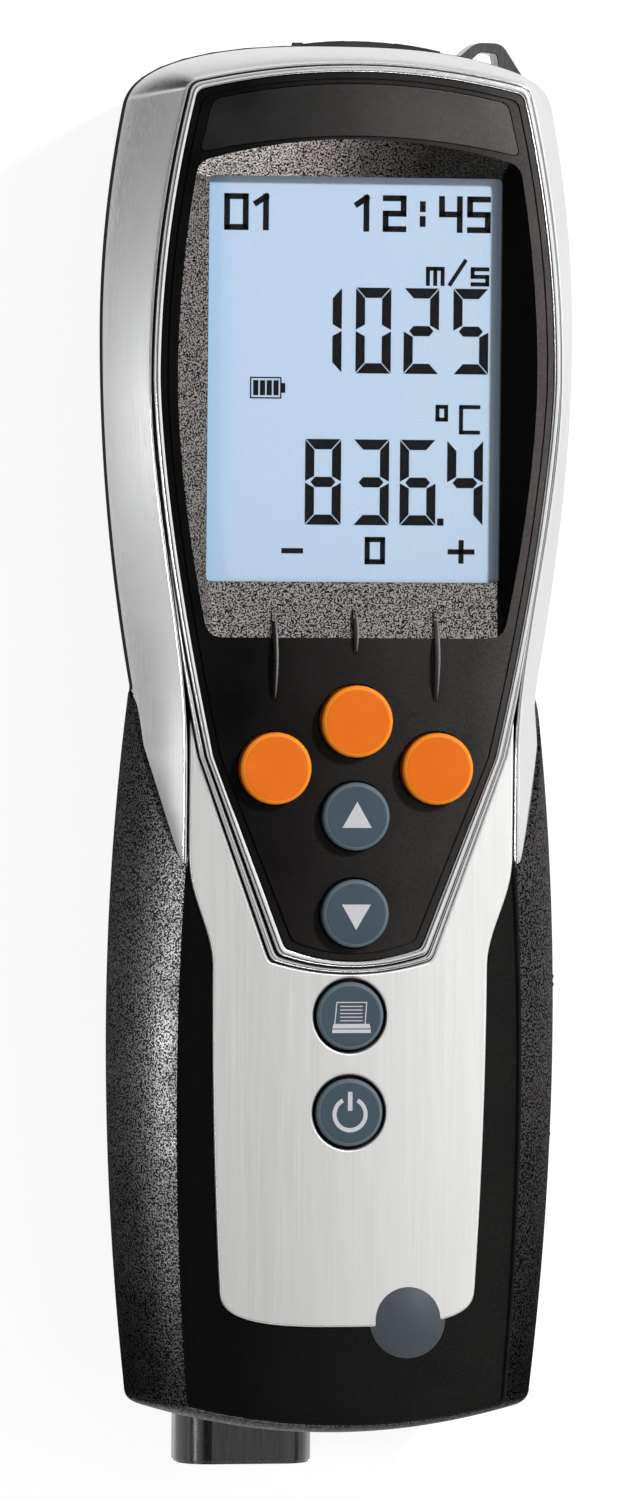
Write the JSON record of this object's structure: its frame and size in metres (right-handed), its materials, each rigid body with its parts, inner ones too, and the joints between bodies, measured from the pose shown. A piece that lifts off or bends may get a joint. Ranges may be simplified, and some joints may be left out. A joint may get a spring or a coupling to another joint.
{
  "type": "handheld air meter",
  "caption": "Handheld air meter with an LCD, seven push keys, chrome bezel, soft grip, probe sockets below, a port flap on top and a sliding battery cover.",
  "frame": {"origin": "centre of the footprint when the meter lies on its back; the back face is Z = 0", "axes": "+Z out of the display, +Y from the grip to the display head, +X to the right of the reader"},
  "size_m": [0.0736, 0.22, 0.046],
  "materials": {
    "chrome_frame": "polished",
    "brushed_plate": "brushed",
    "panel_black": "satin",
    "strip_black": "gloss",
    "window_clear": "clear",
    "lcd_blue": "satin",
    "holder_white": "matte",
    "light_white": "satin",
    "grip_black": "soft touch",
    "key_orange": "satin",
    "key_slate": "satin",
    "mat_grey": "matte",
    "board_green": "satin",
    "chip_black": "matte",
    "badge_grey": "gloss",
    "block_black": "gloss",
    "insert_grey": "matte",
    "eyelet_black": "satin",
    "flap_rubber": "matte",
    "tin_shell": "plain",
    "infrared_dark": "gloss",
    "rear_black": "fine texture",
    "cell_wrap": "gloss",
    "contact_metal": "plain",
    "magnet_nickel": "plated",
    "screw_steel": "plain"
  },
  "bodies": {
    "housing": {"front_frame": "chrome_frame", "display_panel": "panel_black", "name_strip": "strip_black", "display_window": "window_clear", "lcd_glass": "lcd_blue", "lcd_holder": "holder_white", "backlight": "light_white", "keypad_plate": "brushed_plate", "grip_sleeve": "grip_black", "keypad_mat": "mat_grey", "main_board": "board_green", "board_chips": "chip_black", "badge": "badge_grey", "socket_block": "block_black", "probe_socket_left": "insert_grey", "probe_socket_right": "insert_grey", "strap_eyelet": "eyelet_black", "usb_socket": "tin_shell", "infrared_window": "infrared_dark", "rear_housing": "rear_black", "battery_cells": "cell_wrap", "battery_contacts": "contact_metal", "rear_magnets": "magnet_nickel", "housing_screws": "screw_steel"},
    "function_key_left": {"function_key_left": "key_orange"},
    "function_key_middle": {"function_key_middle": "key_orange"},
    "function_key_right": {"function_key_right": "key_orange"},
    "up_key": {"up_key": "key_slate"},
    "down_key": {"down_key": "key_slate"},
    "print_key": {"print_key": "key_slate"},
    "power_key": {"power_key": "key_slate"},
    "interface_cover": {"interface_cover": "flap_rubber"},
    "battery_cover": {"battery_cover": "rear_black"}
  },
  "joints": [
    {"name": "function_key_left_press", "type": "slide", "parent": "housing", "child": "function_key_left", "axis": [0, 0, -1], "range_m": [0, 0.001], "stiffness_N_per_m": 2000, "springref_m": -0.0002},
    {"name": "function_key_middle_press", "type": "slide", "parent": "housing", "child": "function_key_middle", "axis": [0, 0, -1], "range_m": [0, 0.001], "stiffness_N_per_m": 2000, "springref_m": -0.0002},
    {"name": "function_key_right_press", "type": "slide", "parent": "housing", "child": "function_key_right", "axis": [0, 0, -1], "range_m": [0, 0.001], "stiffness_N_per_m": 2000, "springref_m": -0.0002},
    {"name": "up_key_press", "type": "slide", "parent": "housing", "child": "up_key", "axis": [0, 0, -1], "range_m": [0, 0.001], "stiffness_N_per_m": 2000, "springref_m": -0.0002},
    {"name": "down_key_press", "type": "slide", "parent": "housing", "child": "down_key", "axis": [0, 0, -1], "range_m": [0, 0.001], "stiffness_N_per_m": 2000, "springref_m": -0.0002},
    {"name": "print_key_press", "type": "slide", "parent": "housing", "child": "print_key", "axis": [0, 0, -1], "range_m": [0, 0.001], "stiffness_N_per_m": 2000, "springref_m": -0.0002},
    {"name": "power_key_press", "type": "slide", "parent": "housing", "child": "power_key", "axis": [0, 0, -1], "range_m": [0, 0.001], "stiffness_N_per_m": 2000, "springref_m": -0.0002},
    {"name": "interface_cover_hinge", "type": "hinge", "parent": "housing", "child": "interface_cover", "pos_m": [0.0026, 0.109, 0.0114], "axis": [-1, 0, 0], "range_deg": [0, 110]},
    {"name": "battery_cover_slide", "type": "slide", "parent": "housing", "child": "battery_cover", "axis": [0, -1, 0], "range_m": [0, 0.08]}
  ]
}
